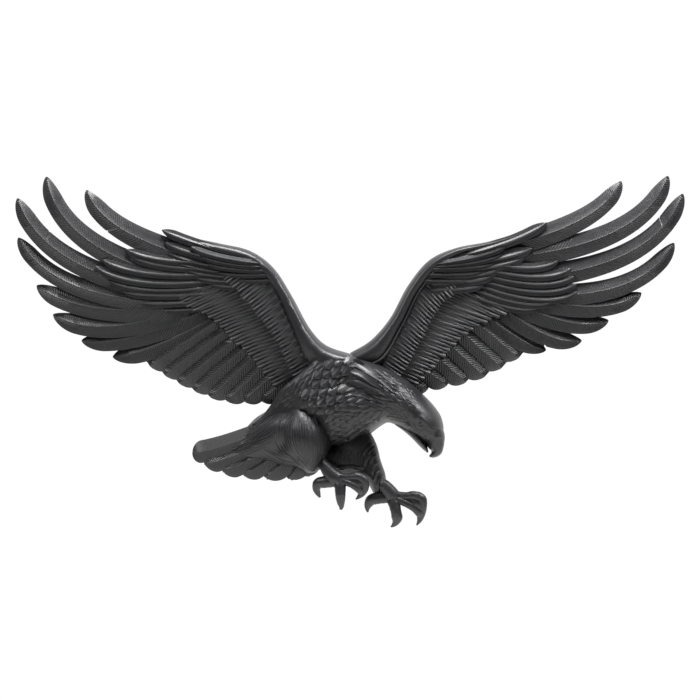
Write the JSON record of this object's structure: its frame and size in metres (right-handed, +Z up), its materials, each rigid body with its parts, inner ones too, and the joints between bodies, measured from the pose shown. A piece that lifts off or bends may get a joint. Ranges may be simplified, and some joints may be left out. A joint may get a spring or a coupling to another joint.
{
  "type": "wall eagle",
  "caption": "Spread-winged eagle cast as one relief, with feathered wings, head, legs and tail, held flat to a wall by round pads on its back.",
  "frame": {"origin": "centre of the round pad behind the body, where it touches the wall", "axes": "+Z up, +Y out of the back towards the wall, +X to the right of someone who faces the eagle"},
  "size_m": [0.9089, 0.0783, 0.4709],
  "materials": {
    "black_coat": "satin"
  },
  "bodies": {
    "root": {"eagle": "black_coat"}
  },
  "joints": []
}
